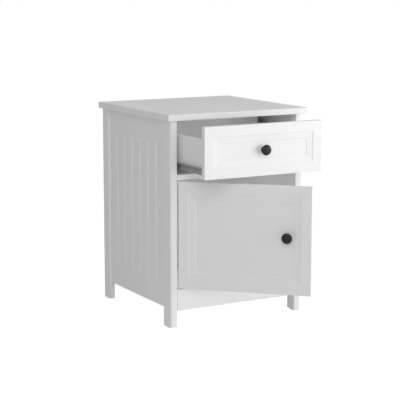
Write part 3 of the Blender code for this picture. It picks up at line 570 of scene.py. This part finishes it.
def make_rollers():
    """Nylon rollers with a rounded tread and a dished face round the hub."""
    for node in both("front_roller") + both("rear_roller"):
        low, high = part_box(node)
        radius, width = (high.z - low.z) / 2, high.x - low.x
        rim = radius - 2 * ROLLER_EDGE
        near = [(ROLLER_BORE, 0), (ROLLER_HUB, 0), (ROLLER_HUB, ROLLER_DISH), (rim, ROLLER_DISH), (rim, 0)]
        far = [(r, width - z) for r, z in reversed(near)]
        tread = round_edge(radius, 0, ROLLER_EDGE, top=False) + round_edge(radius, width, ROLLER_EDGE)
        profile = near + tread + far + near[:1]
        place = facing((low.x, middle_of(node).y, middle_of(node).z), (1, 0, 0))
        stand_in("turned", lathe(profile, place), node)


def make_glides():
    """Glides under the legs, with the edge of their foot rounded."""
    for node in both("front_glide") + both("rear_glide"):
        low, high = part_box(node)
        radius, height = (high.x - low.x) / 2, high.z - low.z
        profile = [(0, 0), *round_edge(radius, 0, GLIDE_EDGE, top=False), (radius, height), (0, height)]
        middle = middle_of(node)
        stand_in("turned", lathe(profile, Matrix.Translation((middle.x, middle.y, low.z))), node)


def make_back_pins():
    """Round-headed pins that hold the back panel to the rear legs, the floor and the divider."""
    low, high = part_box("back_panel")
    columns = int((high.x - low.x) / PIN_SPACING)
    rows = int((high.z - low.z) / PIN_SPACING)
    left, foot = low.x + PIN_MARGIN, low.z + PIN_MARGIN
    width, height = high.x - low.x - 2 * PIN_MARGIN, high.z - low.z - 2 * PIN_MARGIN
    points = [(x, foot + height * row / rows) for row in range(rows + 1) for x in (left, left + width)]
    boards = [middle_of(node).z for node in ("floor_panel", "divider_panel")]
    points += [(left + width * column / columns, z) for column in range(1, columns) for z in boards]
    dome = [(0, 0)] + [(PIN_RADIUS * math.cos(t), PIN_RISE * math.sin(t)) for t in quarter_turn()]
    pin = lathe(dome, Matrix.Identity(4), PIN_STEPS)
    add_piece("back_pins", repeated(pin, [facing((x, high.y, z), (0, 1, 0)) for x, z in points]),
              "zinc_steel", "carcass")


# Screws

def ring(bm, steps, radius, height, turn=0.0, filled=False):
    """Loop of verts round the height axis."""
    place = Matrix.Translation((0, 0, height)) @ Matrix.Rotation(turn, 4, "Z")
    made = bmesh.ops.create_circle(bm, cap_ends=filled, segments=steps, radius=radius, matrix=place)
    return made["verts"]


def loop_edges(bm, verts):
    return [edge for edge in bm.edges if edge.verts[0] in verts and edge.verts[1] in verts]


def screw_head(radius, height):
    """Domed head with a cross recess, standing on the origin."""
    bm = bmesh.new()
    dome = [ring(bm, SCREW_STEPS, radius * share, height * level, filled=level == 0)
            for share, level in SCREW_DOME]
    cross = [ring(bm, CROSS_STEPS, radius * share, height * level, CROSS_TURN, filled)
             for (share, level), filled in ((CROSS_MOUTH, False), (CROSS_FLOOR, True))]
    for vert in cross[0] + cross[1]:
        if abs(abs(vert.co.x) - abs(vert.co.y)) < WELD:
            vert.co.xy *= CROSS_WAIST
    for rings in (dome, cross):
        for near, far in zip(rings, rings[1:]):
            bmesh.ops.bridge_loops(bm, edges=loop_edges(bm, near) + loop_edges(bm, far))
    flat = loop_edges(bm, dome[-1]) + loop_edges(bm, cross[0])
    bmesh.ops.triangle_fill(bm, edges=flat, use_beauty=True)
    bmesh.ops.recalc_face_normals(bm, faces=bm.faces)
    return bm


def add_screws(name, body, size, places):
    add_piece(name, repeated(screw_head(*size), places), "zinc_steel", body)


def make_hinge_screws():
    """Screws of both hinges: two in the plate's wings, two on the arm and two in the cup's ears."""
    width, thickness = front_size()
    door = door_place()
    wings, arms, ears = [], [], []
    for place in ("lower", "upper"):
        low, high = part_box(f"{place}_hinge_plate")
        middle = (low + high) / 2
        for way in (-1, 1):
            wings.append(facing((high.x, middle.y, middle.z + way * WING_SCREW_OFFSET), (1, 0, 0)))
            arms.append(facing((high.x + ARM_RISE, middle.y + way * ARM_SCREW_OFFSET, middle.z), (1, 0, 0)))
            ear = (CUP_FROM_EDGE - width / 2, thickness + EAR_RISE, middle.z + way * EAR_SCREW_OFFSET)
            ears.append(door @ facing(ear, (0, 1, 0)))
    add_screws("plate_screws", "carcass", BIG_SCREW, wings)
    add_screws("arm_screws", "carcass", ARM_SCREW, arms)
    add_screws("cup_screws", "door", CUP_SCREW, ears)


def make_runner_screws():
    """Low screws along the runners, clear of the rollers that pass them."""
    channels, angles = [], []
    for side, inward in (("left", 1), ("right", -1)):
        low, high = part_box(f"{side}_cabinet_runner")
        web = (low.x if inward > 0 else high.x) + inward * RUNNER_STEEL
        z = (low.z + high.z) / 2
        channels += [facing((web, low.y + y, z), (inward, 0, 0)) for y in CABINET_SCREW_PLACES]
        low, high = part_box(f"{side}_drawer_runner")
        plate = (low.x if inward > 0 else high.x) + inward * RUNNER_TREAD
        z = (low.z + high.z) / 2
        angles += [facing((plate, low.y + y, z), (-inward, 0, 0)) for y in DRAWER_SCREW_PLACES]
    add_screws("cabinet_runner_screws", "carcass", FLAT_SCREW, channels)
    add_screws("drawer_runner_screws", "drawer", FLAT_SCREW, angles)


def make_catch_screws():
    """Flush screws of the catch, from below, and of the strike plate on the door."""
    low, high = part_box("magnetic_catch")
    middle = (low + high) / 2
    below = [facing((middle.x + way * CATCH_SCREW_OFFSET, middle.y, low.z), (0, 0, -1)) for way in (-1, 1)]
    add_screws("catch_screws", "carcass", FLUSH_SCREW, below)
    door, strike = door_place(), middle_of("strike_plate")
    x = (door.inverted() @ strike).x
    y = front_size()[1] + EAR_RISE
    plate = [door @ facing((x + way * STRIKE_SCREW_OFFSET, y, strike.z), (0, 1, 0)) for way in (-1, 1)]
    add_screws("strike_screws", "door", FLUSH_SCREW, plate)


def finish_cad_nodes():
    """Every CAD node gets its slot's finish, which shows where no piece stands for the node."""
    for name, node in frame["nodes"].items():
        node.data.materials.clear()
        node.data.materials.append(FINISHES[SLOT_OF[name]])


# Stage, light and camera

def shown_ray(tree):
    """1 for a ray straight, mirrored or through glass from the camera, 0 for light that bounces."""
    path = add_node(tree, "ShaderNodeLightPath")
    mirrored = add_math(tree, "MAXIMUM", path.outputs["Is Camera Ray"], path.outputs["Is Glossy Ray"])
    return add_math(tree, "MAXIMUM", mirrored, path.outputs["Is Transmission Ray"])


def make_floor():
    """Pale floor: seen from the camera it is near white with the cabinet's shadow on it."""
    bm = bmesh.new()
    bmesh.ops.create_grid(bm, x_segments=1, y_segments=1, size=FLOOR_SIZE)
    mesh = bpy.data.meshes.new("floor")
    bm.to_mesh(mesh)
    bm.free()
    material = bpy.data.materials.new("pale_floor")
    material.use_nodes = True
    tree = material.node_tree
    tree.nodes.clear()
    bounce = add_node(tree, "ShaderNodeBsdfDiffuse", Color=(FLOOR_BOUNCE, FLOOR_BOUNCE, FLOOR_BOUNCE, 1))
    seen = add_node(tree, "ShaderNodeBsdfDiffuse", Color=(FLOOR_SHADE, FLOOR_SHADE, FLOOR_SHADE, 1))
    glow = add_node(tree, "ShaderNodeEmission", Color=(1, 1, 1, 1), Strength=FLOOR_GLOW)
    pale = add_node(tree, "ShaderNodeAddShader")
    mix = add_node(tree, "ShaderNodeMixShader")
    out = add_node(tree, "ShaderNodeOutputMaterial")
    tree.links.new(seen.outputs["BSDF"], pale.inputs[0])
    tree.links.new(glow.outputs["Emission"], pale.inputs[1])
    tree.links.new(shown_ray(tree), mix.inputs["Fac"])
    tree.links.new(bounce.outputs["BSDF"], mix.inputs[1])
    tree.links.new(pale.outputs["Shader"], mix.inputs[2])
    tree.links.new(mix.outputs["Shader"], out.inputs["Surface"])
    mesh.materials.append(material)
    floor = bpy.data.objects.new("floor", mesh)
    bpy.context.scene.collection.objects.link(floor)


def make_world():
    """Even white surround: its full white shows, and its lower ambient level lights the cabinet."""
    world = bpy.data.worlds.new("studio")
    bpy.context.scene.world = world
    world.use_nodes = True
    tree = world.node_tree
    background = tree.nodes["Background"]
    background.inputs["Color"].default_value = (1, 1, 1, 1)
    level = add_node(tree, "ShaderNodeMapRange", To_Min=AMBIENT, To_Max=1.0)
    tree.links.new(shown_ray(tree), level.inputs["Value"])
    tree.links.new(level.outputs["Result"], background.inputs["Strength"])


def make_soft_box(name, azimuth, elevation, width, height, power):
    """Area light that looks at the cabinet; azimuth runs from the front to the right."""
    azimuth, elevation = math.radians(azimuth), math.radians(elevation)
    data = bpy.data.lights.new(name, "AREA")
    data.shape = "RECTANGLE"
    data.size, data.size_y = width, height
    data.energy = power
    light = bpy.data.objects.new(name, data)
    bpy.context.scene.collection.objects.link(light)
    level = math.cos(elevation)
    away = Vector((math.sin(azimuth) * level, -math.cos(azimuth) * level, math.sin(elevation)))
    light.location = AIM + away * LIGHT_DISTANCE
    light.rotation_euler = (-away).to_track_quat("-Z", "Y").to_euler()


def make_camera():
    data = bpy.data.cameras.new("camera")
    data.lens = CAMERA_LENS
    data.sensor_width = SENSOR_WIDTH
    camera = bpy.data.objects.new("camera", data)
    camera.location = CAMERA_PLACE
    camera.rotation_euler = (math.pi / 2 - CAMERA_PITCH, 0, -CAMERA_YAW)
    bpy.context.scene.collection.objects.link(camera)
    bpy.context.scene.camera = camera


finish_cad_nodes()
make_eased_pieces()
make_side_panel("left", -1)
make_side_panel("right", 1)
make_fronts()
make_knobs()
make_rollers()
make_glides()
make_back_pins()
make_hinge_screws()
make_runner_screws()
make_catch_screws()
make_floor()
make_world()
for box_name, setting in SOFT_BOXES.items():
    make_soft_box(box_name, *setting)
make_camera()
bpy.context.scene.view_settings.view_transform = "Standard"
bpy.context.scene.cycles.max_bounces = MAX_BOUNCES
bpy.context.scene.cycles.diffuse_bounces = DIFFUSE_BOUNCES
